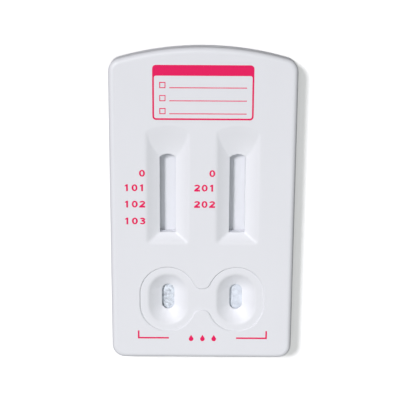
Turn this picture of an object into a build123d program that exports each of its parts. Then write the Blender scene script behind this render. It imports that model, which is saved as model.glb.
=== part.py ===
import math
import os

from build123d import *

# Lateral flow cassette with two strips, lying on its back. Sizes are in millimetres.
# X runs across the cassette, Y towards its arched end and Z up from the table to the printed face.
# The origin is on the table, under the middle of the body.

# Body
body_width = 46.0
body_height = 6.0
end_arc_radius = 76.0
corner_radius = 3.3
face_edge_round = 1.3
base_edge_chamfer = 0.6
seam_height = 2.8
seam_chamfer = 0.15

# Walls of the two shells
face_skin = 1.2
skirt_wall = 1.0
floor_thickness = 1.2
tongue_wall = 0.8
tongue_height = 1.0
fit_clearance = 0.1

# Locating pins: six-sided, so that only their corners grip in the round sockets
pin_columns = 3
pin_rows = 3
pin_side_margin = 4.6
pin_foot_margin = 6.0
pin_head_margin = 8.0
pin_diameter = 2.2
pin_clearance = 0.05
pin_tip_chamfer = 0.3
pin_tip_gap = 0.3
boss_wall = 0.9
socket_height = 2.8

# Strips, side by side, each a chain of pads that lap their neighbours
strip_offset = 8.67
strip_end_margin = 9.0
strip_width = 4.9
sample_pad_length = 16.5
conjugate_pad_length = 8.5
membrane_length = 27.0
absorbent_pad_length = 16.0
lap_length = 2.0
lap_slope = 0.5
card_thickness = 0.3
membrane_thickness = 0.15
conjugate_thickness = 0.4
sample_thickness = 0.65
absorbent_thickness = 0.9
tape_thickness = 0.1
tape_reach = 3.0

# Bed of the strips in the bottom shell
bed_rib_height = 0.5
bed_rib_width = 0.8
bed_rib_count = 12
channel_clearance = 0.15
rail_width = 0.9
rail_height = 1.2
rail_piece_length = 10.0
rail_piece_count = 5
stop_clearance = 0.3

# Result windows: a slot over the membrane, in a recess with three flat slopes and a long ramp
window_width = 4.0
window_foot_margin = 1.5
window_head_margin = 1.3
window_arch_radius = 2.9
window_depth = 1.5
window_wall = 1.0
side_slope_run = 3.25
foot_slope_run = 2.5
ramp_run = 7.35
ramp_radius = 48.0
valley_round = 1.2
recess_edge_round = 2.0

# Sample wells, and the shallow pan around both
well_distance = 7.0
bowl_width = 9.85
bowl_edge_round = 1.4
drop_hole_width = 3.2
drop_hole_length = 6.8
drop_hole_depth = 2.6
lip_gap = 0.4
pan_depth = 0.3
pan_side_margin = 2.3
pan_end_margin = 2.05
pan_shift = 0.05
pan_waist_width = 5.95
pan_wall_angle = 45.0

# Ribs under the face that press the strips
press_rib_width = 1.0
press_rib_gap = 0.05
absorbent_rib_insets = (4.0, 10.5)

# Mark of the moulding gate in the base
gate_mark_diameter = 1.6
gate_mark_depth = 0.2

# Levels that follow from the sizes above
ceiling = body_height - face_skin
bed_level = floor_thickness + bed_rib_height
card_top = bed_level + card_thickness
membrane_top = card_top + membrane_thickness
conjugate_top = card_top + conjugate_thickness
sample_top = card_top + sample_thickness
absorbent_top = card_top + absorbent_thickness
lapped_sample_top = conjugate_top + sample_thickness
rail_top = floor_thickness + rail_height
socket_top = floor_thickness + socket_height
pan_floor = body_height - pan_depth
window_edge_level = body_height - window_depth
window_wall_foot = rail_top + fit_clearance
drop_hole_level = body_height - drop_hole_depth
lip_foot = sample_top + lip_gap

# Walls and slopes that follow from the sizes above
tongue_inset = skirt_wall + fit_clearance
tray_wall = tongue_inset + tongue_wall
channel_width = strip_width + 2 * channel_clearance
boss_diameter = pin_diameter + 2 * (pin_clearance + boss_wall)
bowl_length = drop_hole_length + bowl_width - drop_hole_width
bowl_slope_run = (bowl_width - drop_hole_width) / 2
bowl_slope_angle = math.degrees(math.atan2(bowl_slope_run, pan_floor - drop_hole_level))

# Places along a strip that follow from the sizes above, from its sample end up
laps = 3 * lap_length
strip_length = sample_pad_length + conjugate_pad_length + membrane_length + absorbent_pad_length - laps
body_length = strip_length + 2 * strip_end_margin
strip_foot = -strip_length / 2
strip_head = strip_length / 2
sample_head = strip_foot + sample_pad_length
conjugate_foot = sample_head - lap_length
conjugate_head = conjugate_foot + conjugate_pad_length
membrane_foot = conjugate_head - lap_length
membrane_head = membrane_foot + membrane_length
absorbent_foot = membrane_head - lap_length
window_foot = conjugate_head + window_foot_margin
window_head = absorbent_foot - window_head_margin
recess_head = window_head + ramp_run
ramp_axis = window_head - window_arch_radius
well_centre = strip_foot + well_distance

# The two strips, and what lies over them, stand either side of the middle
strip_columns = ((-strip_offset, 0), (strip_offset, 0))
well_places = ((-strip_offset, well_centre), (strip_offset, well_centre))

# The space over a window is drawn a little past the face, so that its slopes cut the face cleanly
recess_overcut = 0.3

os.makedirs("parts", exist_ok=True)


def finish_piece(piece, name):
    """Labels one finished piece and writes its file."""
    piece.label = name
    export_step(piece, f"parts/{name}.step")


def body_plan(inset=0.0):
    """The plan of the body, drawn inset from the outside: straight sides and foot, arched head."""
    half_width = body_width / 2 - inset
    foot = inset - body_length / 2
    head = body_length / 2 - inset
    radius = end_arc_radius - inset
    shoulder = head - radius + math.sqrt(radius**2 - half_width**2)
    with BuildSketch() as plan:
        with BuildLine():
            Polyline(
                (-half_width, shoulder),
                (-half_width, foot),
                (half_width, foot),
                (half_width, shoulder),
            )
            ThreePointArc((half_width, shoulder), (0, head), (-half_width, shoulder))
        make_face()
        fillet(plan.vertices(), max(corner_radius - inset, 0.3))
    return plan.sketch


def window_plan(grow=0.0):
    """The plan of the slot over a membrane: square foot and arched head, grown by a wall."""
    half_width = window_width / 2 + grow
    radius = window_arch_radius + grow
    foot = window_foot - grow
    shoulder = ramp_axis + math.sqrt(radius**2 - half_width**2)
    with BuildSketch() as plan:
        with BuildLine():
            Polyline(
                (-half_width, shoulder),
                (-half_width, foot),
                (half_width, foot),
                (half_width, shoulder),
            )
            ThreePointArc(
                (half_width, shoulder), (0, ramp_axis + radius), (-half_width, shoulder)
            )
        make_face()
    return plan.sketch


def window_recess():
    """The space over one window: slopes at its sides and foot, and a ramp that fans out at its head."""
    sky = body_height + recess_overcut
    widening = (sky - window_edge_level) / window_depth
    half_window = window_width / 2
    half_sky = half_window + side_slope_run * widening
    foot_sky = window_foot - foot_slope_run * widening
    ramp_chord = math.hypot(ramp_run, window_depth)
    ramp_end_slope = math.atan2(window_depth, ramp_run) - math.asin(ramp_chord / (2 * ramp_radius))
    ramp_sky = recess_head + recess_overcut / math.tan(ramp_end_slope)
    with BuildPart() as recess:
        with BuildSketch(Plane.YZ):
            with BuildLine():
                Polyline(
                    (foot_sky, sky),
                    (window_foot, window_edge_level),
                    (ramp_axis, window_edge_level),
                    (ramp_axis, sky),
                    close=True,
                )
            make_face()
        extrude(amount=half_sky, both=True)
        with BuildSketch(Plane.YZ):
            with BuildLine():
                RadiusArc((window_head, window_edge_level), (recess_head, body_height), ramp_radius)
                Polyline(
                    (recess_head, body_height),
                    (ramp_sky, sky),
                    (ramp_axis, sky),
                    (ramp_axis, window_edge_level),
                    (window_head, window_edge_level),
                )
            make_face()
        revolve(axis=Axis((0, ramp_axis, 0), (0, 0, 1)))
        with BuildSketch(Plane.XZ):
            with BuildLine():
                Polyline(
                    (-half_sky, sky),
                    (-half_window, window_edge_level),
                    (half_window, window_edge_level),
                    (half_sky, sky),
                    close=True,
                )
            make_face()
        extrude(amount=body_length / 2, both=True, mode=Mode.INTERSECT)
        valleys = recess.edges().filter_by(lambda edge: edge.bounding_box().size.Z > window_depth)
        fillet(valleys, valley_round)
    return recess.part


def pan_plan():
    """The outline around both wells: two lobes, joined by a waist whose arcs are tangent to them."""
    lobe_radius = bowl_width / 2 + pan_side_margin
    lobe_length = bowl_length + 2 * pan_end_margin
    lobe_straight = lobe_length / 2 - lobe_radius
    waist_rise = pan_waist_width / 2 - lobe_straight
    span = strip_offset**2 + waist_rise**2 - lobe_radius**2
    saddle_radius = span / (2 * (lobe_radius - waist_rise))
    saddle_height = pan_waist_width / 2 + saddle_radius
    share = saddle_radius / (lobe_radius + saddle_radius)
    meeting_x = strip_offset * share
    meeting_y = saddle_height - (saddle_height - lobe_straight) * share
    with BuildSketch() as plan:
        with Locations(*strip_columns):
            SlotOverall(lobe_length, 2 * lobe_radius, rotation=90)
        Rectangle(2 * meeting_x, 2 * meeting_y)
        with Locations((0, saddle_height), (0, -saddle_height)):
            Circle(saddle_radius, mode=Mode.SUBTRACT)
    return plan.sketch


def funnel(grow, mouth_level, foot_level):
    """A stadium that narrows downwards at the slope of the wells, grown at its mouth by a wall."""
    with BuildPart() as shape:
        with BuildSketch(Plane.XY.offset(mouth_level)):
            SlotOverall(bowl_length + 2 * grow, bowl_width + 2 * grow, rotation=90)
        extrude(amount=foot_level - mouth_level, taper=bowl_slope_angle)
    return shape.part


def well_bowl():
    """The space of one sample well, from the pan down to its drop hole."""
    return funnel(0, pan_floor, drop_hole_level)


def well_backing():
    """The funnel of plastic under one sample well, a face skin thick, cut off flat at its lip."""
    slope = math.radians(bowl_slope_angle)
    grow = face_skin / math.cos(slope) - (pan_floor - ceiling) * math.tan(slope)
    return funnel(grow, ceiling, lip_foot)


def pin_places():
    """The places of the locating pins and their sockets."""
    column_pitch = (body_width - 2 * pin_side_margin) / (pin_columns - 1)
    row_pitch = (body_length - pin_foot_margin - pin_head_margin) / (pin_rows - 1)
    shift = (pin_foot_margin - pin_head_margin) / 2
    with Locations((0, shift)):
        with GridLocations(column_pitch, row_pitch, pin_columns, pin_rows) as grid:
            return grid.locations


def make_top_shell():
    """The face half: skin and skirt, two windows, two wells in their pan, pins and pressing ribs."""
    recess = window_recess()
    with BuildPart() as shell:
        with BuildSketch(Plane.XY.offset(seam_height)):
            add(body_plan())
        extrude(amount=body_height - seam_height)
        fillet(shell.faces().sort_by(Axis.Z)[-1].edges(), face_edge_round)
        chamfer(shell.faces().sort_by(Axis.Z)[0].edges(), seam_chamfer)
        with BuildSketch(Plane.XY.offset(seam_height)):
            add(body_plan(skirt_wall))
        extrude(amount=ceiling - seam_height, mode=Mode.SUBTRACT)

        # Plastic behind each window and each well
        with Locations(*[(x, y, -face_skin) for x, y in strip_columns]):
            add(recess)
        with BuildSketch(Plane.XY.offset(window_wall_foot)):
            with Locations(*strip_columns):
                add(window_plan(window_wall))
        extrude(amount=ceiling - window_wall_foot)
        with Locations(*well_places):
            add(well_backing())

        # A rib over the taped lap of the sample pad, and ribs over the absorbent pad
        with BuildSketch(Plane.XY.offset(ceiling)):
            with Locations(*[(x, conjugate_foot + lap_length / 2) for x, y in strip_columns]):
                Rectangle(strip_width, press_rib_width)
        extrude(amount=lapped_sample_top + tape_thickness + press_rib_gap - ceiling)
        with BuildSketch(Plane.XY.offset(ceiling)):
            for inset in absorbent_rib_insets:
                with Locations(*[(x, strip_head - inset) for x, y in strip_columns]):
                    Rectangle(strip_width, press_rib_width)
        extrude(amount=absorbent_top + press_rib_gap - ceiling)

        # Locating pins, each with a collar that stops just over its socket
        with BuildSketch(Plane.XY.offset(ceiling)):
            with Locations(*pin_places()):
                RegularPolygon(boss_diameter / 2, 6)
        extrude(amount=socket_top + fit_clearance - ceiling)
        with BuildSketch(Plane.XY.offset(ceiling)):
            with Locations(*pin_places()):
                RegularPolygon(pin_diameter / 2, 6)
        extrude(amount=floor_thickness + pin_tip_gap - ceiling)
        pin_tips = shell.faces().sort_by(Axis.Z)[: pin_columns * pin_rows]
        chamfer(pin_tips.edges(), pin_tip_chamfer)

        # Windows
        with Locations(*strip_columns):
            add(recess, mode=Mode.SUBTRACT)
        with BuildSketch(Plane.XY.offset(window_wall_foot)):
            with Locations(*strip_columns):
                add(window_plan())
        extrude(amount=body_height - window_wall_foot, mode=Mode.SUBTRACT)
        face = shell.faces().sort_by(Axis.Z)[-1]
        fillet(face.inner_wires().edges(), recess_edge_round)

        # Pan and wells
        with BuildSketch(Plane.XY.offset(body_height)):
            with Locations((0, well_centre + pan_shift)):
                add(pan_plan())
        extrude(amount=-pan_depth, taper=pan_wall_angle, mode=Mode.SUBTRACT)
        with Locations(*well_places):
            add(well_bowl(), mode=Mode.SUBTRACT)
        pan_face = shell.faces().filter_by_position(Axis.Z, pan_floor, pan_floor)[0]
        fillet(pan_face.inner_wires().edges(), bowl_edge_round)
        with BuildSketch(Plane.XY.offset(drop_hole_level)):
            with Locations(*well_places):
                SlotOverall(drop_hole_length, drop_hole_width, rotation=90)
        extrude(amount=lip_foot - drop_hole_level, mode=Mode.SUBTRACT)
    finish_piece(shell.part, "top_shell")


def make_bottom_shell():
    """The back half: tray and tongue, sockets for the pins, and a ribbed bed for each strip."""
    with BuildPart() as shell:
        with BuildSketch():
            add(body_plan())
        extrude(amount=seam_height)
        chamfer(shell.faces().sort_by(Axis.Z)[0].edges(), base_edge_chamfer)
        chamfer(shell.faces().sort_by(Axis.Z)[-1].edges(), seam_chamfer)
        with BuildSketch(Plane.XY.offset(floor_thickness)):
            add(body_plan(tray_wall))
        extrude(amount=seam_height - floor_thickness, mode=Mode.SUBTRACT)
        with BuildSketch(Plane.XY.offset(seam_height)):
            add(body_plan(tongue_inset))
            add(body_plan(tray_wall), mode=Mode.SUBTRACT)
        extrude(amount=tongue_height)

        # Sockets
        with BuildSketch(Plane.XY.offset(floor_thickness)):
            with Locations(*pin_places()):
                Circle(boss_diameter / 2)
                Circle(pin_diameter / 2 + pin_clearance, mode=Mode.SUBTRACT)
        extrude(amount=socket_height)

        # Bed ribs under each strip
        rib_pitch = (strip_length - 2 * bed_rib_width) / (bed_rib_count - 1)
        with BuildSketch(Plane.XY.offset(floor_thickness)):
            with GridLocations(2 * strip_offset, rib_pitch, 2, bed_rib_count):
                Rectangle(channel_width, bed_rib_width)
        extrude(amount=bed_rib_height)

        # Broken rails along each strip, and a stop at each end
        rail_pitch = (strip_length - rail_piece_length) / (rail_piece_count - 1)
        rail_places = [
            strip_offset * side + (channel_width + rail_width) / 2 * edge
            for side in (-1, 1)
            for edge in (-1, 1)
        ]
        stop_place = strip_length / 2 + stop_clearance + rail_width / 2
        with BuildSketch(Plane.XY.offset(floor_thickness)):
            for place in rail_places:
                with Locations((place, 0)):
                    with GridLocations(0, rail_pitch, 1, rail_piece_count):
                        Rectangle(rail_width, rail_piece_length)
            with GridLocations(2 * strip_offset, 2 * stop_place, 2, 2):
                Rectangle(channel_width, rail_width)
        extrude(amount=rail_height)

        # The mark of the moulding gate in the middle of the base
        with BuildSketch():
            Circle(gate_mark_diameter / 2)
        extrude(amount=gate_mark_depth, mode=Mode.SUBTRACT)
    finish_piece(shell.part, "bottom_shell")


def make_layer(name, x, underside, thickness):
    """One layer of a strip: its underside as (Y, Z) stations along the strip, and its thickness."""
    upperside = [(y, z + thickness) for y, z in reversed(underside)]
    with BuildPart() as layer:
        with BuildSketch(Plane.YZ.offset(x)):
            with BuildLine():
                Polyline(*underside, *upperside, close=True)
            make_face()
        extrude(amount=strip_width / 2, both=True)
    finish_piece(layer.part, name)


def make_strip(side, x):
    """The six layers of one strip, from its backing card up to the tape over the sample end."""
    make_layer(
        f"{side}_backing_card",
        x,
        [(strip_foot, bed_level), (strip_head, bed_level)],
        card_thickness,
    )
    make_layer(
        f"{side}_membrane",
        x,
        [(membrane_foot, card_top), (membrane_head, card_top)],
        membrane_thickness,
    )
    make_layer(
        f"{side}_conjugate_pad",
        x,
        [
            (conjugate_foot, card_top),
            (membrane_foot - lap_slope, card_top),
            (membrane_foot, membrane_top),
            (conjugate_head, membrane_top),
        ],
        conjugate_thickness,
    )
    make_layer(
        f"{side}_sample_pad",
        x,
        [
            (strip_foot, card_top),
            (conjugate_foot - lap_slope, card_top),
            (conjugate_foot, conjugate_top),
            (sample_head, conjugate_top),
        ],
        sample_thickness,
    )
    make_layer(
        f"{side}_absorbent_pad",
        x,
        [
            (absorbent_foot, membrane_top),
            (membrane_head, membrane_top),
            (membrane_head + lap_slope, card_top),
            (strip_head, card_top),
        ],
        absorbent_thickness,
    )
    make_layer(
        f"{side}_cover_tape",
        x,
        [
            (conjugate_foot - tape_reach, sample_top),
            (conjugate_foot - lap_slope, sample_top),
            (conjugate_foot, lapped_sample_top),
            (sample_head, lapped_sample_top),
            (sample_head + 2 * lap_slope, conjugate_top),
            (sample_head + tape_reach, conjugate_top),
        ],
        tape_thickness,
    )


make_top_shell()
make_bottom_shell()
make_strip("left", -strip_offset)
make_strip("right", strip_offset)
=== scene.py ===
"""Dresses the lateral flow cassette: its plastic, its print, its two test strips and the studio."""

import math
import random
from typing import NamedTuple

import bmesh
import bpy
from bpy.props import FloatProperty, FloatVectorProperty, IntProperty, PointerProperty
from mathutils import Matrix, Vector, noise


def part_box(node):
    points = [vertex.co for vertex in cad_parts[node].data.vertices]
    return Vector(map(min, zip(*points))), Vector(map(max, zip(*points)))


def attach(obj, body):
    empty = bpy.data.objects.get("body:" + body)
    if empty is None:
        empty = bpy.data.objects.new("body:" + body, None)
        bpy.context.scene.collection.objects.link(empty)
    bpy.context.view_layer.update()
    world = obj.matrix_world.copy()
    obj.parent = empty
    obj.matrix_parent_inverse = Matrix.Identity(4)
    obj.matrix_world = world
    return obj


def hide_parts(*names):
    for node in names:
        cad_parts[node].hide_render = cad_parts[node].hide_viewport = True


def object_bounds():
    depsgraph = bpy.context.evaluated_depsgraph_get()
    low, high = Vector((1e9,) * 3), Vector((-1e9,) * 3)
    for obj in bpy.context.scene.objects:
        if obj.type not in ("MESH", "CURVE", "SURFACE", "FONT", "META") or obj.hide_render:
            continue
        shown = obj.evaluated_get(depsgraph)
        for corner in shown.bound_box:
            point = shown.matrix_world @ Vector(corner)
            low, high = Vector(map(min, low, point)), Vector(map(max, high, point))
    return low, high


bl_info = {
    "name": "Lateral flow cassette",
    "version": (1, 0, 0),
    "blender": (4, 5, 0),
    "location": "3D View > Sidebar > Cassette",
    "description": "Finishes for a two-strip test cassette, its print and its test strips",
    "category": "Object",
}

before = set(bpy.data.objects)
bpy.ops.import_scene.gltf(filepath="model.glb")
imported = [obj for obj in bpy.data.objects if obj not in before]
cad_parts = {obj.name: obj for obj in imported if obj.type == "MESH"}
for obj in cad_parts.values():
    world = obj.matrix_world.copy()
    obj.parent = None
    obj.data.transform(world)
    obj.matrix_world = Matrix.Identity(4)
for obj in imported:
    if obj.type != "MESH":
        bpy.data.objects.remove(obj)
cad_low, cad_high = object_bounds()

MM = 0.001
SIDES = ("left", "right")
BODY = "root"
FACE_LEVEL = cad_high.z
LAP_SLOPE = 0.5 * MM

# The porous film: its tiles along each axis, and the slow wave of its top
FILM_TILES = (20, 108, 1)
FILM_WAVE = 0.012 * MM
FILM_WAVE_SIZE = 3 * MM

# Pads: how far their edges round off and fray, and how loose fibres lie
CROWN_REACH = (0.04, 0.012)
FRAY_SHARE = 0.6
FIBRE_POINTS = 6
FIBRE_HEADING_SPREAD = 0.9
FIBRE_BEND = 0.5

# Print, in millimetres on the face
BRACKET_LEVEL = -34.4
BRACKET_SHIFT = 0.19
BRACKET_INNER = 8.62
BRACKET_OUTER = 16.57
BRACKET_TICK = 2.2
DROP_PITCH = 2.9
DROP_ROUNDNESS = 0.34
DROP_STEPS = 24
ROW_MARGIN = 5.55
ROW_LEVELS = (9.05, 5.35, 1.15, -3.2)
FIGURE_STROKE = 0.26
FIGURE_WIDTH = 0.84
FIGURE_GAP = 0.23
PANEL_CENTRE = 29.1
PANEL_BAND = 2.6
PANEL_CORNER = 0.9
PANEL_RULES = 3
PANEL_MARGIN = 1.7
PANEL_BOX = 1.5
PANEL_SLACK = 0.4
PANEL_FIRST_RULE = 0.95
PANEL_RULE_START = 1.6

# Heights on the shells, as shares of the height of the face. Below the polished level the slopes are
# painted paler, and from the edge level down the deep walls fade into a painted glow: both are painted
# light
PAINTED_GLOW_LEVEL = 0.42
EDGE_LEVEL = 0.76
POLISHED_LEVEL = 0.76
ERODED_LEVEL = 0.95

# The shells' finish: how much the clouds tint it, and what makes it rougher
FLOW_TINT = 0.015
FLOW_ROUGHNESS = 0.05
GRAIN_ROUGHNESS = 0.06
ERODED_ROUGHNESS = 0.08
POLISHED_GRAIN = 0.3

IOR = {"styrene": 1.53, "ink": 1.3, "film": 1.4, "felt": 1.45, "card": 1.55, "tape": 1.49}

# Studio
FLOOR_REACH = 2.0
FLOOR_BOUNCE = (0.12, 0.12, 0.12)
FLOOR_GLOW = (0.3, 0.3, 0.3)
SENSOR_WIDTH = 36.0
KEY_COLOUR = (1.0, 0.978, 1.0)
SKY_COLOUR = (0.95, 1.0, 0.965, 1)
FILL_SPOT = (0, -0.09, 0.2)
FILL_SIZE = 0.08
CAMERA_SPOT = (-0.62 * MM, 2.303 * MM)
CAMERA_RANGE = (0.01, 10)


def colour_property(name, description, default):
    """A colour that a user can change."""
    return FloatVectorProperty(
        name=name, description=description, default=default, subtype="COLOR", size=3, min=0, max=1
    )


def length_property(name, description, millimetres):
    """A length that a user can change, given in millimetres and kept in metres."""
    return FloatProperty(
        name=name, description=description, default=millimetres * MM, unit="LENGTH", precision=5
    )


class PlasticLook(bpy.types.PropertyGroup):
    """The moulded plastic of the two shells."""

    colour: colour_property("Colour", "Colour of the moulded plastic", (0.735, 0.745, 0.785))
    roughness: FloatProperty(
        name="Roughness", description="How matt the plastic is", default=0.44, min=0, max=1
    )
    # Painted light: how much paler the slopes below the face are painted; their polish itself only
    # makes them less rough
    slope_painted_light: FloatProperty(
        name="Polish", description="How much paler the polished slopes are", default=0.08, min=0, max=1
    )
    # Painted glow: how much paler the deep walls are painted, as painted light in place of light
    # through the walls
    glow: FloatProperty(
        name="Glow", description="How much paler the thin walls look as light passes through them",
        default=0.18, min=0, max=1
    )
    grain_size: length_property("Grain size", "Width of one grain of the mould's texture", 0.11)
    grain_depth: length_property("Grain depth", "Depth of the mould's texture", 0.0022)
    flow_size: length_property("Flow size", "Width of the soft clouds that the melt leaves", 6.0)


class PrintLook(bpy.types.PropertyGroup):
    """The ink on the face."""

    colour: colour_property("Colour", "Colour of the ink", (0.76, 0.006, 0.105))
    film: length_property("Film", "Thickness of the ink", 0.015)
    stroke: length_property("Stroke", "Width of the printed lines", 0.42)
    rule_stroke: length_property("Rule stroke", "Width of the rules to write on", 0.22)
    figure_height: length_property("Figure height", "Height of the printed numbers", 1.75)
    panel_width: length_property("Panel width", "Width of the write-in panel", 24.6)
    panel_height: length_property("Panel height", "Height of the write-in panel", 13.4)


class StripLook(bpy.types.PropertyGroup):
    """The layers of the two test strips."""

    membrane_colour: colour_property("Membrane", "Colour of the porous film", (0.715, 0.73, 0.77))
    sample_colour: colour_property("Sample pad", "Colour of the sample pad", (0.70, 0.745, 0.815))
    conjugate_colour: colour_property("Conjugate pad", "Colour of the dyed pad", (0.56, 0.30, 0.31))
    absorbent_colour: colour_property("Absorbent pad", "Colour of the wick", (0.80, 0.79, 0.75))
    card_colour: colour_property("Backing card", "Colour of the card", (0.79, 0.79, 0.78))
    tape_colour: colour_property("Cover tape", "Tint of the clear tape", (0.90, 0.94, 0.97))
    fibre_thickness: length_property("Fibre thickness", "Diameter of a loose fibre", 0.035)
    fibre_length: length_property("Fibre length", "Length of a loose fibre", 1.6)
    fibres: IntProperty(
        name="Fibres", description="Loose fibres on each sample pad", default=900, min=0
    )


class StudioLook(bpy.types.PropertyGroup):
    """The camera, the lamps, the sky and the floor."""

    tilt: FloatProperty(
        name="Tilt",
        description="How far the camera leans from straight above towards the arched end",
        default=math.radians(15),
        subtype="ANGLE",
    )
    roll: FloatProperty(
        name="Roll",
        description="Turn of the camera about its own line of sight",
        default=math.radians(0.315),
        subtype="ANGLE",
    )
    distance: length_property("Distance", "From the camera to the face", 262)
    lens: FloatProperty(
        name="Lens", description="Focal length in millimetres of the camera", default=95.08
    )
    key_height: FloatProperty(
        name="Key height",
        description="Height of the lamp over the horizon",
        default=math.radians(54.4),
        subtype="ANGLE",
    )
    key_heading: FloatProperty(
        name="Key heading",
        description="Direction of the lamp, from +X towards +Y",
        default=math.radians(143),
        subtype="ANGLE",
    )
    key_softness: FloatProperty(
        name="Key softness",
        description="Angle across the lamp as the object sees it",
        default=math.radians(14),
        subtype="ANGLE",
    )
    key_strength: FloatProperty(
        name="Key strength", description="Strength of the lamp", default=2.5
    )
    sky_strength: FloatProperty(
        name="Sky strength", description="Strength of the sky straight above", default=0.19
    )
    side_strength: FloatProperty(
        name="Side strength", description="Strength of the sky on the right", default=0.315
    )
    fill_power: FloatProperty(
        name="Fill power", description="Power in watts of the lamp near the wells", default=0.045
    )
    floor_colour: colour_property("Floor", "Colour of the floor", (0.82, 0.82, 0.83))


class Wire:
    """A value that flows between the nodes of a finish and takes part in plain sums."""

    def __init__(self, finish, socket):
        self.finish = finish
        self.socket = socket

    def sum_with(self, operation, first, second):
        return self.finish.node("ShaderNodeMath", {"operation": operation}, {0: first, 1: second})

    def __add__(self, other):
        return self.sum_with("ADD", self, other)

    def __radd__(self, other):
        return self.sum_with("ADD", other, self)

    def __sub__(self, other):
        return self.sum_with("SUBTRACT", self, other)

    def __rsub__(self, other):
        return self.sum_with("SUBTRACT", other, self)

    def __mul__(self, other):
        return self.sum_with("MULTIPLY", self, other)

    def __rmul__(self, other):
        return self.sum_with("MULTIPLY", other, self)


class Sheet:
    """A sheet of shader nodes."""

    def __init__(self, tree):
        self.tree = tree

    def feed(self, socket, value):
        """Gives a socket a wire or a plain value."""
        if isinstance(value, Wire):
            self.tree.links.new(value.socket, socket)
        else:
            socket.default_value = value

    def node(self, kind, settings, sockets, output=0):
        """Adds a node: its settings first, then the wires or values of its sockets."""
        made = self.tree.nodes.new(kind)
        for name, value in settings.items():
            if name == "stops":
                for stop, (place, shade) in zip(made.color_ramp.elements, value):
                    stop.position = place
                    stop.color = (shade, shade, shade, 1)
            else:
                setattr(made, name, value)
        for name, value in sockets.items():
            self.feed(made.inputs[name], value)
        return Wire(self, made.outputs[output])


class Finish(Sheet):
    """A material in the making."""

    def __init__(self, name):
        self.material = bpy.data.materials.new(name)
        self.material.use_nodes = True
        super().__init__(self.material.node_tree)
        self.tree.nodes.clear()
        self.shader = self.tree.nodes.new("ShaderNodeBsdfPrincipled")
        end = self.tree.nodes.new("ShaderNodeOutputMaterial")
        self.tree.links.new(self.shader.outputs["BSDF"], end.inputs["Surface"])

    def place(self):
        """The place of a point in the object's own frame, in metres."""
        return self.node("ShaderNodeTexCoord", {}, {}, "Object")

    def cloud(self, size, detail=2.0, stretch=(1, 1, 1)):
        """Soft random shades from 0 to 1, with clouds of about a size, stretched along the axes."""
        where = self.node(
            "ShaderNodeVectorMath", {"operation": "MULTIPLY"}, {0: self.place(), 1: stretch}
        )
        return self.node(
            "ShaderNodeTexNoise", {}, {"Vector": where, "Scale": 1 / size, "Detail": detail}
        )

    def steps(self, value, low, high):
        """A mask that rises from 0 to 1 as a value goes from low to high."""
        return self.node("ShaderNodeValToRGB", {"stops": ((low, 0), (high, 1))}, {"Fac": value})

    def blend(self, mask, first, second):
        """The first colour where the mask is 0 and the second where it is 1."""
        colours = {6: (*first, 1), 7: (*second, 1)}
        return self.node("ShaderNodeMix", {"data_type": "RGBA"}, {0: mask, **colours}, 2)

    def between(self, mask, first, second):
        """The first wire where the mask is 0 and the second where it is 1."""
        return self.node("ShaderNodeMix", {"data_type": "RGBA"}, {0: mask, 6: first, 7: second}, 2)

    def relief(self, height):
        """The surface's normal under a relief whose height is in metres."""
        return self.node("ShaderNodeBump", {}, {"Strength": 1, "Distance": 1, "Height": height})

    def coat(self, sockets):
        """Sets sockets of the shader and gives back the material."""
        for name, value in sockets.items():
            self.feed(self.shader.inputs[name], value)
        return self.material


def shade(colour, factor):
    """A colour made darker or lighter."""
    return tuple(min(1, part * factor) for part in colour)


def shell_plastic(look):
    """White styrene plastic from a finely eroded mould: an even grain, faint clouds of flow, and
    painted light that makes the slopes and the deep walls paler.
    """
    finish = Finish("shell_plastic")
    grain = finish.cloud(look.grain_size, 3)
    flow = finish.cloud(look.flow_size, 2, (1, 0.45, 1))
    height = finish.node("ShaderNodeSeparateXYZ", {}, {"Vector": finish.place()}, "Z")
    level = height * (1 / FACE_LEVEL)
    eroded = finish.steps(level, POLISHED_LEVEL, ERODED_LEVEL)
    # Mask of the painted glow: 0 on the deep walls, 1 from the edge level up
    thick = finish.steps(level, PAINTED_GLOW_LEVEL, EDGE_LEVEL)
    dull = finish.blend(flow, shade(look.colour, 1 - FLOW_TINT), shade(look.colour, 1 + FLOW_TINT))
    # Painted light: the slopes painted paler, and the deep walls paler still
    pale = finish.blend(thick, shade(look.colour, 1 + look.glow), shade(look.colour, 1 + look.slope_painted_light))
    roughness = look.roughness - ERODED_ROUGHNESS + ERODED_ROUGHNESS * eroded
    texture = POLISHED_GRAIN + (1 - POLISHED_GRAIN) * eroded
    return finish.coat(
        {
            "Base Color": finish.between(eroded, pale, dull),
            "Roughness": roughness + FLOW_ROUGHNESS * flow + GRAIN_ROUGHNESS * grain,
            "Normal": finish.relief((look.grain_depth * grain) * texture),
            "IOR": IOR["styrene"],
        }
    )


def pad_ink(look):
    """Pad-printed ink: a thin even film with a little less cover in places."""
    finish = Finish("print_ink")
    cover = finish.cloud(0.35 * MM, 3)
    colour = finish.blend(cover, shade(look.colour, 0.96), shade(look.colour, 1.08))
    return finish.coat(
        {
            "Base Color": colour,
            "Roughness": 0.5 + 0.1 * cover,
            "Normal": finish.relief(0.002 * MM * cover),
            "IOR": IOR["ink"],
        }
    )


def porous_film(look):
    """Nitrocellulose: a chalky, very fine pored film."""
    finish = Finish("porous_film")
    pores = finish.cloud(0.04 * MM, 4)
    casting = finish.cloud(1.4 * MM, 2, (1, 0.2, 1))
    pale = shade(look.membrane_colour, 1.01)
    colour = finish.blend(casting, shade(look.membrane_colour, 0.985), pale)
    return finish.coat(
        {
            "Base Color": colour,
            "Roughness": 0.78 + 0.12 * pores,
            "Normal": finish.relief(0.003 * MM * pores),
            "IOR": IOR["film"],
        }
    )


class FeltKind(NamedTuple):
    """How a pad is matted. Sizes are in millimetres, and sparsity divides the loose fibres."""

    relief: float
    bump_size: float
    tile: float
    strand_size: float
    patch_size: float
    # How far the painted light and shade, and the random mottle, move the colour
    tint: float
    sparkle: float
    sparsity: int


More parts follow.
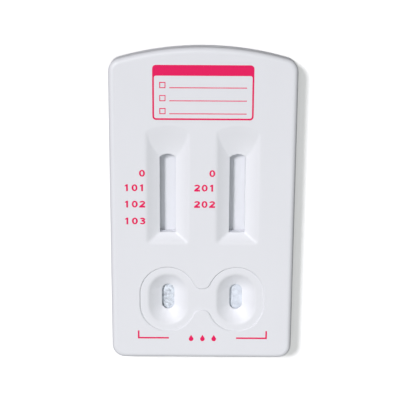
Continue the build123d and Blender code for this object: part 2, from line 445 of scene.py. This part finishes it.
LEFT_SAMPLE = FeltKind(
    relief=0.24, bump_size=0.7, tile=0.1, strand_size=0.16, patch_size=0.9, tint=0.25, sparkle=0.45,
    sparsity=1,
)
RIGHT_SAMPLE = FeltKind(
    relief=0.1, bump_size=0.8, tile=0.1, strand_size=0.16, patch_size=1.4, tint=0.08, sparkle=0.45,
    sparsity=2,
)
CONJUGATE = FeltKind(
    relief=0.06, bump_size=0.3, tile=0.14, strand_size=0.12, patch_size=0.7, tint=0.1, sparkle=0.3,
    sparsity=6,
)
WICK = FeltKind(
    relief=0.12, bump_size=0.7, tile=0.14, strand_size=0.3, patch_size=1.8, tint=0.06, sparkle=0.1,
    sparsity=4,
)


def felt(name, colour, kind):
    """A pad of matted fibres: painted light on the ridges, painted shade in the pores, random patches
    of lighter and darker, and a broken gloss.
    """
    finish = Finish(name)
    strands = finish.cloud(kind.strand_size * MM, 4, (1, 0.35, 1))
    crossing = finish.cloud(kind.strand_size * MM, 4, (0.35, 1, 1))
    mottle = finish.cloud(kind.patch_size * MM, 3)
    darker, lighter = shade(colour, 1 - kind.tint), shade(colour, 1 + kind.tint)
    mat = 0.5 * strands + 0.5 * crossing
    # The colour follows the strands of the relief, so it paints shade into the pores and light onto
    # the ridges; the mottle adds random patches
    mask = finish.steps(0.45 * mat + 0.55 * mottle, 0.4, 0.6)
    return finish.coat(
        {
            "Base Color": finish.blend(mask, darker, lighter),
            "Roughness": 0.9 - kind.sparkle * mat,
            "Normal": finish.relief(0.06 * MM * mat),
            "IOR": IOR["felt"],
        }
    )


def card_stock(look):
    """Opaque styrene card with faint rolling lines along it."""
    finish = Finish("card_stock")
    rolling = finish.cloud(0.3 * MM, 2, (1, 0.05, 1))
    colour = finish.blend(rolling, shade(look.card_colour, 0.98), look.card_colour)
    return finish.coat(
        {
            "Base Color": colour,
            "Roughness": 0.24 + 0.1 * rolling,
            "Normal": finish.relief(0.001 * MM * rolling),
            "IOR": IOR["card"],
        }
    )


def clear_tape(look):
    """Clear film with a trace of haze from its glue."""
    finish = Finish("clear_tape")
    haze = finish.cloud(0.8 * MM, 3)
    return finish.coat(
        {
            "Base Color": tuple(look.tape_colour) + (1,),
            "Roughness": 0.06 + 0.1 * haze,
            "Normal": finish.relief(0.0015 * MM * haze),
            "Transmission Weight": 1.0,
            "IOR": IOR["tape"],
        }
    )


def add_piece(name, mesh, material, slot, *replaced):
    """Puts a mesh in the scene as a piece of the cassette, in place of the nodes named."""
    mesh.materials.clear()
    mesh.materials.append(material)
    piece = bpy.data.objects.new(name, mesh)
    bpy.context.scene.collection.objects.link(piece)
    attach(piece, BODY)
    if replaced:
        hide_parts(*replaced)
    return piece


def refinish(node, material):
    """Gives a CAD node another material."""
    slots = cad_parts[node].material_slots
    for slot in slots:
        slot.link = "OBJECT"
        slot.material = material
    if not slots:
        raise RuntimeError(f"{node} has no material slot")


def skin_of_tiles(counts, place):
    """A closed skin of small tiles over six sides.

    place turns shares of the way along each axis into a point.
    """
    across, along, up = counts
    mesh = bmesh.new()
    made = {}

    def corner(key):
        if key not in made:
            i, j, k = key
            made[key] = mesh.verts.new(place(i / across, j / along, k / up))
        return made[key]

    def tile(*keys):
        mesh.faces.new([corner(key) for key in keys])

    for i in range(across):
        for j in range(along):
            tile((i, j, 0), (i, j + 1, 0), (i + 1, j + 1, 0), (i + 1, j, 0))
            tile((i, j, up), (i + 1, j, up), (i + 1, j + 1, up), (i, j + 1, up))
    for k in range(up):
        for i in range(across):
            tile((i, 0, k), (i + 1, 0, k), (i + 1, 0, k + 1), (i, 0, k + 1))
            tile((i, along, k), (i, along, k + 1), (i + 1, along, k + 1), (i + 1, along, k))
        for j in range(along):
            tile((0, j, k), (0, j, k + 1), (0, j + 1, k + 1), (0, j + 1, k))
            tile((across, j, k), (across, j + 1, k), (across, j + 1, k + 1), (across, j, k + 1))
    return mesh


def finished_mesh(shape, name):
    """Turns a shape into a smooth-shaded mesh."""
    mesh = bpy.data.meshes.new(name)
    shape.to_mesh(mesh)
    shape.free()
    mesh.polygons.foreach_set("use_smooth", [True] * len(mesh.polygons))
    return mesh


def rough(point, size, seed):
    """Random height from 0 to 1 at a point, with bumps of about a size and finer ones on them."""
    where = point / size + Vector((seed, 2.7 * seed, 0))
    coarse = noise.noise(where)
    fine = noise.noise(2.3 * where)
    finest = noise.noise(5.1 * where)
    return 0.5 + 0.5 * max(-1, min(1, 0.9 * coarse + 0.5 * fine + 0.3 * finest))


def edge_share(share, reach):
    """How near a place is to either end of a width: 1 at the end, 0 past the reach."""
    return max(0.0, 1 - min(share, 1 - share) / reach)


class Pad:
    """A matted pad in the space of its CAD node: its climb over a neighbour, its relief and edges."""

    def __init__(self, node, climb, thickness, kind):
        self.low, self.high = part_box(node)
        self.climb = climb
        self.thickness = thickness
        self.relief = kind.relief * MM
        self.bump_size = kind.bump_size * MM
        self.tile = kind.tile * MM
        self.seed = len(node) + 10 * SIDES.index(node.split("_")[0])

    def underside(self, y):
        """The level under the pad, with the climb rounded off as the mat bends."""
        start, end, level_before, level_after = self.climb
        share = max(0.0, min(1.0, (y - start) / (end - start)))
        eased = share * share * (3 - 2 * share)
        return level_before + (level_after - level_before) * eased

    def point(self, u, v, w):
        """A point of the pad's skin."""
        x = self.low.x + (self.high.x - self.low.x) * u
        y = self.low.y + (self.high.y - self.low.y) * v
        here = Vector((x, y, w * self.thickness))
        across, along = CROWN_REACH
        crown = 0.5 * edge_share(u, across) ** 2 + 0.5 * edge_share(v, along) ** 2
        sink = self.relief * (rough(here, self.bump_size, self.seed) + crown) * w
        fray = FRAY_SHARE * self.relief * rough(here, 0.5 * self.bump_size, self.seed + 9)
        if u in (0, 1):
            x += fray if u == 0 else -fray
        if v in (0, 1):
            y += fray if v == 0 else -fray
        return Vector((x, y, self.underside(y) + w * self.thickness - sink))

    def skin(self):
        """The pad's skin as a shape of small tiles."""
        across = round((self.high.x - self.low.x) / self.tile)
        along = round((self.high.y - self.low.y) / self.tile)
        up = max(2, round(self.thickness / self.tile))
        return skin_of_tiles((across, along, up), self.point)

    def scatter(self, shape, count, length, thickness):
        """Lays loose fibres on the pad, each a thin bent tube half sunk in the mat."""
        draw = random.Random(self.seed)
        for _ in range(count):
            u, v = draw.uniform(0.04, 0.96), draw.uniform(0.03, 0.97)
            heading = draw.gauss(math.pi / 2, FIBRE_HEADING_SPREAD)
            bend = draw.gauss(0, FIBRE_BEND)
            reach = length * draw.uniform(0.4, 1.2)
            lift = draw.uniform(0, 0.8) * thickness
            line = []
            for step in range(FIBRE_POINTS):
                share = step / (FIBRE_POINTS - 1) - 0.5
                angle = heading + bend * share
                centre = self.point(u, v, 1)
                x = centre.x + reach * share * math.cos(angle)
                y = centre.y + reach * share * math.sin(angle)
                x = max(self.low.x, min(self.high.x, x))
                y = max(self.low.y, min(self.high.y, y))
                spot = self.point(
                    (x - self.low.x) / (self.high.x - self.low.x),
                    (y - self.low.y) / (self.high.y - self.low.y),
                    1,
                )
                line.append(Vector((x, y, spot.z + lift)))
            add_tube(shape, line, thickness / 2 * draw.uniform(0.6, 1.3))


def add_tube(shape, line, radius, sides=5):
    """Adds a thin closed tube along a line of points."""
    rings = []
    for index, point in enumerate(line):
        before = line[max(0, index - 1)]
        after = line[min(len(line) - 1, index + 1)]
        along = (after - before).normalized()
        side = along.orthogonal().normalized()
        other = along.cross(side)
        ring = []
        for step in range(sides):
            angle = 2 * math.pi * step / sides
            spoke = math.cos(angle) * side + math.sin(angle) * other
            ring.append(shape.verts.new(point + radius * spoke))
        rings.append(ring)
    for first, second in zip(rings, rings[1:]):
        for step in range(sides):
            turn = (step + 1) % sides
            shape.faces.new((first[step], first[turn], second[turn], second[step]))
    shape.faces.new(list(reversed(rings[0])))
    shape.faces.new(rings[-1])


class StripLevels:
    """The levels and joins of one strip, read from the frame."""

    def __init__(self, side):
        membrane_low, membrane_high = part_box(f"{side}_membrane")
        conjugate_low, conjugate_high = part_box(f"{side}_conjugate_pad")
        self.card_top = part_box(f"{side}_backing_card")[1].z
        self.membrane_foot = membrane_low.y
        self.membrane_head = membrane_high.y
        self.membrane_top = membrane_high.z
        self.conjugate_foot = conjugate_low.y
        self.conjugate_top = self.card_top + conjugate_high.z - self.membrane_top
        self.sample_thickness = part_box(f"{side}_sample_pad")[1].z - self.conjugate_top
        self.wick_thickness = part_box(f"{side}_absorbent_pad")[1].z - self.membrane_top


def add_pad(look, node, name, kind, finish, slot, climb, thickness):
    """Makes a pad with its loose fibres, in place of its CAD node."""
    pad = Pad(node, climb, thickness, kind)
    shape = pad.skin()
    pad.scatter(shape, look.fibres // kind.sparsity, look.fibre_length, look.fibre_thickness)
    add_piece(name, finished_mesh(shape, name), finish, slot, node)


def box_outline(left, bottom, right, top):
    """The outline of a rectangle."""
    return [(left, bottom), (right, bottom), (right, top), (left, top)]


def rounded_outline(left, bottom, right, top, radius):
    """The outline of a rectangle with round corners."""
    corners = (
        (right - radius, top - radius, 0),
        (left + radius, top - radius, 90),
        (left + radius, bottom + radius, 180),
        (right - radius, bottom + radius, 270),
    )
    return [
        (x + radius * math.cos(math.radians(angle)), y + radius * math.sin(math.radians(angle)))
        for x, y, start in corners
        for angle in range(start, start + 91, 15)
    ]


def drop_outline(x, y, height):
    """The outline of a drop: a round foot, and two sides that meet in a point at the top."""
    radius = DROP_ROUNDNESS * height
    foot = y - height / 2 + radius
    point_rise = height - radius
    touch = math.degrees(math.asin(radius / point_rise))
    span = 180 + 2 * touch
    outline = [(x, foot + point_rise)]
    for step in range(DROP_STEPS + 1):
        angle = math.radians(180 - touch + span * step / DROP_STEPS)
        outline.append((x + radius * math.cos(angle), foot + radius * math.sin(angle)))
    return outline


def printed(outlines, film):
    """A mesh of ink inside outlines, where an outline within another is a hole."""
    curve = bpy.data.curves.new("outlines", "CURVE")
    curve.dimensions = "2D"
    curve.fill_mode = "BOTH"
    curve.extrude = film / 2
    for outline in outlines:
        spline = curve.splines.new("POLY")
        spline.points.add(len(outline) - 1)
        for point, (x, y) in zip(spline.points, outline):
            point.co = (x, y, 0, 1)
        spline.use_cyclic_u = True
    holder = bpy.data.objects.new("outlines", curve)
    bpy.context.scene.collection.objects.link(holder)
    mesh = bpy.data.meshes.new_from_object(holder)
    bpy.data.objects.remove(holder)
    bpy.data.curves.remove(curve)
    return mesh


def arc(x, y, across, up, start, end, steps=14):
    """Points along part of an oval about a centre, from one angle to another in degrees."""
    angles = [math.radians(start + (end - start) * step / steps) for step in range(steps + 1)]
    return [(x + across * math.cos(angle), y + up * math.sin(angle)) for angle in angles]


def figure_outlines(digit):
    """The outlines of a bold figure, one unit high, with its foot at 0 and its left edge at 0."""
    stroke, width = FIGURE_STROKE, FIGURE_WIDTH
    middle = width / 2
    if digit == "0":
        hole = (middle - stroke, 0.5 - 0.8 * stroke)
        return [arc(middle, 0.5, middle, 0.5, 0, 350, 35), arc(middle, 0.5, *hole, 0, 350, 35)]
    if digit == "1":
        stem = middle + stroke / 2
        back = stem - stroke
        tip = back - 0.17
        flag = [(tip, 0.84), (tip, 0.66), (back, 0.74)]
        return [[(back, 0), (stem, 0), (stem, 1), (stem - 0.75 * stroke, 1), *flag]]
    if digit == "2":
        bowl = 0.7
        rise = 1 - bowl
        outer = arc(middle, bowl, middle, rise, 165, -38)
        inner = arc(middle, bowl, middle - stroke, rise - 0.85 * stroke, -32, 165)
        foot = [(0.62 * width, stroke), (width, stroke), (width, 0), (0, 0), (0, 0.8 * stroke)]
        return [outer + foot + inner]
    upper, lower = 0.735, 0.31
    upper_rise, lower_rise = 1 - upper, lower
    thin = 0.85 * stroke
    upper_reach = 0.94 * middle
    outer = arc(middle, upper, upper_reach, upper_rise, 160, -48)
    outer += arc(middle, lower, middle, lower_rise, 55, -160)
    inner = arc(middle, lower, middle - stroke, lower_rise - thin, -155, 75)
    nub = [(0.36 * width, lower + lower_rise - thin), (0.36 * width, upper - upper_rise + thin)]
    crown = arc(middle, upper, upper_reach - stroke, upper_rise - thin, -75, 155)
    return [outer + inner + nub + crown]


def number_outlines(text, height, right, level):
    """The outlines of a number with a given height, right edge and middle level."""
    pitch = FIGURE_WIDTH + FIGURE_GAP
    left = right - height * (pitch * len(text) - FIGURE_GAP)
    return [
        [(left + height * (pitch * index + x), level + height * (y - 0.5)) for x, y in outline]
        for index, digit in enumerate(text)
        for outline in figure_outlines(digit)
    ]


def print_on_face(name, outlines, look):
    """Prints the inside of outlines, drawn in millimetres, on the face as one piece of ink."""
    flat = printed(outlines, look.film / MM)
    shape = bmesh.new()
    shape.from_mesh(flat)
    bpy.data.meshes.remove(flat)
    scale = Matrix.Diagonal((MM, MM, MM, 1))
    lift = Matrix.Translation((0, 0, FACE_LEVEL + 0.4 * look.film))
    bmesh.ops.transform(shape, matrix=lift @ scale, verts=shape.verts)
    mesh = bpy.data.meshes.new(name)
    shape.to_mesh(mesh)
    shape.free()
    ink = bpy.data.materials.get("print_ink") or pad_ink(look)
    add_piece(name, mesh, ink, "print_ink")


def add_floor(look):
    """A wide pale floor, shown paler than it lights the cassette."""
    finish = Finish("studio_floor")
    seen = finish.node("ShaderNodeLightPath", {}, {}, "Is Camera Ray")
    colour = finish.blend(seen, FLOOR_BOUNCE, look.floor_colour)
    glow = finish.blend(seen, (0, 0, 0), FLOOR_GLOW)
    finish.coat({"Base Color": colour, "Roughness": 1.0, "Specular IOR Level": 0.0})
    finish.coat({"Emission Color": glow, "Emission Strength": 1.0})
    mesh = bpy.data.meshes.new("studio_floor")
    reach = FLOOR_REACH
    corners = [(-reach, -reach, 0), (reach, -reach, 0), (reach, reach, 0), (-reach, reach, 0)]
    mesh.from_pydata(corners, [], [(0, 1, 2, 3)])
    mesh.materials.append(finish.material)
    floor = bpy.data.objects.new("studio_floor", mesh)
    bpy.context.scene.collection.objects.link(floor)


def add_lamp(look):
    """The main lamp: soft, and high on the left of the arched end."""
    lamp = bpy.data.lights.new("key_lamp", "SUN")
    lamp.energy = look.key_strength
    lamp.color = KEY_COLOUR
    lamp.angle = look.key_softness
    holder = bpy.data.objects.new("key_lamp", lamp)
    level = math.cos(look.key_height)
    towards = Vector(
        (
            level * math.cos(look.key_heading),
            level * math.sin(look.key_heading),
            math.sin(look.key_height),
        )
    )
    holder.rotation_euler = towards.to_track_quat("Z", "Y").to_euler()
    bpy.context.scene.collection.objects.link(holder)


def add_fill(look):
    """A small soft lamp over the wells, so that the foot of the face is a little lighter."""
    lamp = bpy.data.lights.new("fill_lamp", "AREA")
    lamp.energy = look.fill_power
    lamp.size = FILL_SIZE
    holder = bpy.data.objects.new("fill_lamp", lamp)
    holder.location = FILL_SPOT
    holder.rotation_euler = Vector(FILL_SPOT).to_track_quat("Z", "Y").to_euler()
    bpy.context.scene.collection.objects.link(holder)


def add_sky(look):
    """A sky that lights from above and fades to the horizon, and that shows as plain white."""
    world = bpy.data.worlds.new("studio_sky")
    world.use_nodes = True
    bpy.context.scene.world = world
    tree = world.node_tree
    tree.nodes.clear()
    sheet = Sheet(tree)
    place = sheet.node("ShaderNodeTexCoord", {}, {}, "Generated")
    height = sheet.node("ShaderNodeSeparateXYZ", {}, {"Vector": place}, "Z")
    across = sheet.node("ShaderNodeSeparateXYZ", {}, {"Vector": place}, "X")
    strength = look.sky_strength * height + look.side_strength * (0.5 + 0.5 * across)
    light = sheet.node("ShaderNodeBackground", {}, {"Color": SKY_COLOUR, "Strength": strength})
    shown = sheet.node("ShaderNodeBackground", {}, {"Color": (1, 1, 1, 1), "Strength": 1.0})
    camera = sheet.node("ShaderNodeLightPath", {}, {}, "Is Camera Ray")
    glossy = sheet.node("ShaderNodeLightPath", {}, {}, "Is Glossy Ray")
    through = sheet.node("ShaderNodeLightPath", {}, {}, "Is Transmission Ray")
    mask = sheet.node(
        "ShaderNodeMath", {"operation": "ADD", "use_clamp": True}, {0: camera + glossy, 1: through}
    )
    mixed = sheet.node("ShaderNodeMixShader", {}, {0: mask, 1: light, 2: shown})
    end = tree.nodes.new("ShaderNodeOutputWorld")
    tree.links.new(mixed.socket, end.inputs["Surface"])


def add_camera(look):
    """The camera, over the arched end and looking down on the face."""
    lens = bpy.data.cameras.new("camera")
    lens.lens = look.lens
    lens.sensor_width = SENSOR_WIDTH
    lens.clip_start, lens.clip_end = CAMERA_RANGE
    camera = bpy.data.objects.new("camera", lens)
    back = Vector((0, math.sin(look.tilt), math.cos(look.tilt)))
    across = Vector((1, 0, 0))
    upward = Vector((0, math.cos(look.tilt), -math.sin(look.tilt)))
    turned = across * math.cos(look.roll) + upward * math.sin(look.roll)
    raised = upward * math.cos(look.roll) - across * math.sin(look.roll)
    axes = Matrix((turned, raised, back)).transposed().to_4x4()
    spot = Vector((CAMERA_SPOT[0], CAMERA_SPOT[1], FACE_LEVEL))
    camera.matrix_world = Matrix.Translation(spot + back * look.distance) @ axes
    bpy.context.scene.collection.objects.link(camera)
    bpy.context.scene.camera = camera


class CASSETTE_OT_shells(bpy.types.Operator):
    """Give both shells their moulded plastic"""

    bl_idname = "cassette.shells"
    bl_label = "Shells"

    def execute(self, context):
        plastic = shell_plastic(context.scene.cassette_plastic)
        refinish("top_shell", plastic)
        refinish("bottom_shell", plastic)
        return {"FINISHED"}


class CASSETTE_OT_cards_and_tapes(bpy.types.Operator):
    """Give the backing cards and the cover tapes their finish"""

    bl_idname = "cassette.cards_and_tapes"
    bl_label = "Cards and tapes"

    def execute(self, context):
        look = context.scene.cassette_strips
        card = card_stock(look)
        tape = clear_tape(look)
        for side in SIDES:
            refinish(f"{side}_backing_card", card)
            refinish(f"{side}_cover_tape", tape)
        return {"FINISHED"}


class CASSETTE_OT_membranes(bpy.types.Operator):
    """Make the porous film under each window"""

    bl_idname = "cassette.membranes"
    bl_label = "Membranes"

    def execute(self, context):
        film = porous_film(context.scene.cassette_strips)
        for seed, side in enumerate(SIDES):
            node = f"{side}_membrane"
            low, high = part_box(node)
            thickness = high.z - low.z

            def point(u, v, w):
                x = low.x + (high.x - low.x) * u
                y = low.y + (high.y - low.y) * v
                sink = FILM_WAVE * w * rough(Vector((x, y, 0)), FILM_WAVE_SIZE, seed + 1)
                return Vector((x, y, low.z + w * thickness - sink))

            name = f"{side}_membrane_film"
            mesh = finished_mesh(skin_of_tiles(FILM_TILES, point), name)
            add_piece(name, mesh, film, "membrane", node)
        return {"FINISHED"}


class CASSETTE_OT_sample_pads(bpy.types.Operator):
    """Make the fibre pad under each well"""

    bl_idname = "cassette.sample_pads"
    bl_label = "Sample pads"

    def execute(self, context):
        look = context.scene.cassette_strips
        for side, kind in zip(SIDES, (LEFT_SAMPLE, RIGHT_SAMPLE)):
            node, name = f"{side}_sample_pad", f"{side}_sample_felt"
            finish = felt(name, look.sample_colour, kind)
            levels = StripLevels(side)
            foot = levels.conjugate_foot
            climb = (foot - LAP_SLOPE, foot, levels.card_top, levels.conjugate_top)
            thickness = levels.sample_thickness
            add_pad(look, node, name, kind, finish, "cotton_paper", climb, thickness)
        return {"FINISHED"}


class CASSETTE_OT_conjugate_pads(bpy.types.Operator):
    """Make the dyed glass fibre pad that laps each membrane"""

    bl_idname = "cassette.conjugate_pads"
    bl_label = "Conjugate pads"

    def execute(self, context):
        look = context.scene.cassette_strips
        finish = felt("conjugate_felt", look.conjugate_colour, CONJUGATE)
        for side in SIDES:
            node, name = f"{side}_conjugate_pad", f"{side}_conjugate_felt"
            levels = StripLevels(side)
            foot = levels.membrane_foot
            climb = (foot - LAP_SLOPE, foot, levels.card_top, levels.membrane_top)
            thickness = levels.conjugate_top - levels.card_top
            add_pad(look, node, name, CONJUGATE, finish, "glass_fibre", climb, thickness)
        return {"FINISHED"}


class CASSETTE_OT_absorbent_pads(bpy.types.Operator):
    """Make the thick cotton wick at the head of each strip"""

    bl_idname = "cassette.absorbent_pads"
    bl_label = "Absorbent pads"

    def execute(self, context):
        look = context.scene.cassette_strips
        finish = felt("wick_felt", look.absorbent_colour, WICK)
        for side in SIDES:
            node, name = f"{side}_absorbent_pad", f"{side}_wick_felt"
            levels = StripLevels(side)
            head = levels.membrane_head
            climb = (head, head + LAP_SLOPE, levels.membrane_top, levels.card_top)
            thickness = levels.wick_thickness
            add_pad(look, node, name, WICK, finish, "cotton_paper", climb, thickness)
        return {"FINISHED"}


class CASSETTE_OT_well_bracket(bpy.types.Operator):
    """Print the bracket under the wells, with three drops in its middle"""

    bl_idname = "cassette.well_bracket"
    bl_label = "Well bracket"

    def execute(self, context):
        look = context.scene.cassette_print
        stroke = look.stroke / MM
        bottom = BRACKET_LEVEL - stroke / 2
        outlines = []
        for side in (-1, 1):
            inner = BRACKET_SHIFT + side * BRACKET_INNER
            outer = BRACKET_SHIFT + side * BRACKET_OUTER
            corner = outer - side * stroke
            outlines.append(
                [
                    (inner, bottom),
                    (outer, bottom),
                    (outer, bottom + BRACKET_TICK),
                    (corner, bottom + BRACKET_TICK),
                    (corner, bottom + stroke),
                    (inner, bottom + stroke),
                ]
            )
        for step in (-1, 0, 1):
            middle = BRACKET_SHIFT + step * DROP_PITCH
            outlines.append(drop_outline(middle, BRACKET_LEVEL, look.figure_height / MM))
        print_on_face("well_bracket", outlines, look)
        return {"FINISHED"}


class CASSETTE_OT_row_numbers(bpy.types.Operator):
    """Print a number beside each row of a window: 0, then the strip's number and the row's"""

    bl_idname = "cassette.row_numbers"
    bl_label = "Row numbers"

    def execute(self, context):
        look = context.scene.cassette_print
        height = look.figure_height / MM
        outlines = []
        for strip, (side, rows) in enumerate((("left", 4), ("right", 3)), 1):
            low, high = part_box(f"{side}_membrane")
            right = (low.x + high.x) / 2 / MM - ROW_MARGIN
            for row in range(rows):
                number = f"{strip}0{row}" if row else "0"
                outlines += number_outlines(number, height, right, ROW_LEVELS[row])
        print_on_face("row_numbers", outlines, look)
        return {"FINISHED"}


class CASSETTE_OT_write_in_panel(bpy.types.Operator):
    """Print a ruled panel to write on at the arched end"""

    bl_idname = "cassette.write_in_panel"
    bl_label = "Write-in panel"

    def execute(self, context):
        look = context.scene.cassette_print
        stroke, rule = look.stroke / MM, look.rule_stroke / MM
        right = look.panel_width / MM / 2
        top = PANEL_CENTRE + look.panel_height / MM / 2
        bottom = PANEL_CENTRE - look.panel_height / MM / 2
        sill = top - PANEL_BAND
        side = right - stroke
        outlines = [
            rounded_outline(-right, bottom, right, top, PANEL_CORNER),
            rounded_outline(-side, bottom + stroke, side, sill, PANEL_CORNER - stroke),
        ]
        pitch = (sill - bottom) / (PANEL_RULES + PANEL_SLACK)
        for step in range(PANEL_RULES):
            level = sill - (step + PANEL_FIRST_RULE) * pitch
            start = PANEL_MARGIN - right
            end, top_edge = start + PANEL_BOX, level + PANEL_BOX
            rule_start = start + PANEL_RULE_START * PANEL_BOX
            outlines += [
                box_outline(start, level, end, top_edge),
                box_outline(start + rule, level + rule, end - rule, top_edge - rule),
                box_outline(rule_start, level, right - PANEL_MARGIN, level + rule),
            ]
        print_on_face("write_in_panel", outlines, look)
        return {"FINISHED"}


class CASSETTE_OT_studio(bpy.types.Operator):
    """Set up the floor, the lamps, the sky and the camera"""

    bl_idname = "cassette.studio"
    bl_label = "Studio"

    def execute(self, context):
        look = context.scene.cassette_studio
        add_floor(look)
        add_lamp(look)
        add_fill(look)
        add_sky(look)
        add_camera(look)
        context.scene.view_settings.view_transform = "Standard"
        return {"FINISHED"}


class CASSETTE_PT_panel(bpy.types.Panel):
    """Buttons that dress the cassette, and the values that they use"""

    bl_label = "Lateral flow cassette"
    bl_idname = "CASSETTE_PT_panel"
    bl_space_type = "VIEW_3D"
    bl_region_type = "UI"
    bl_category = "Cassette"

    def draw(self, context):
        for title, holder, buttons in GROUPS:
            box = self.layout.box()
            box.label(text=title)
            values = getattr(context.scene, holder)
            for name in values.__annotations__:
                box.prop(values, name)
            for button in buttons:
                box.operator(button.bl_idname)


GROUPS = (
    ("Plastic", "cassette_plastic", (CASSETTE_OT_shells,)),
    (
        "Strips",
        "cassette_strips",
        (
            CASSETTE_OT_cards_and_tapes,
            CASSETTE_OT_membranes,
            CASSETTE_OT_sample_pads,
            CASSETTE_OT_conjugate_pads,
            CASSETTE_OT_absorbent_pads,
        ),
    ),
    (
        "Print",
        "cassette_print",
        (CASSETTE_OT_well_bracket, CASSETTE_OT_row_numbers, CASSETTE_OT_write_in_panel),
    ),
    ("Studio", "cassette_studio", (CASSETTE_OT_studio,)),
)
LOOKS = {
    "cassette_plastic": PlasticLook,
    "cassette_print": PrintLook,
    "cassette_strips": StripLook,
    "cassette_studio": StudioLook,
}
OPERATORS = tuple(button for _, _, buttons in GROUPS for button in buttons)
CLASSES = (*LOOKS.values(), *OPERATORS, CASSETTE_PT_panel)


def register():
    for each in CLASSES:
        bpy.utils.register_class(each)
    for holder, look in LOOKS.items():
        setattr(bpy.types.Scene, holder, PointerProperty(type=look))


def unregister():
    for holder in LOOKS:
        delattr(bpy.types.Scene, holder)
    for each in reversed(CLASSES):
        bpy.utils.unregister_class(each)


def main():
    register()
    for button in OPERATORS:
        group, name = button.bl_idname.split(".")
        getattr(getattr(bpy.ops, group), name)()


if __name__ == "__main__":
    main()
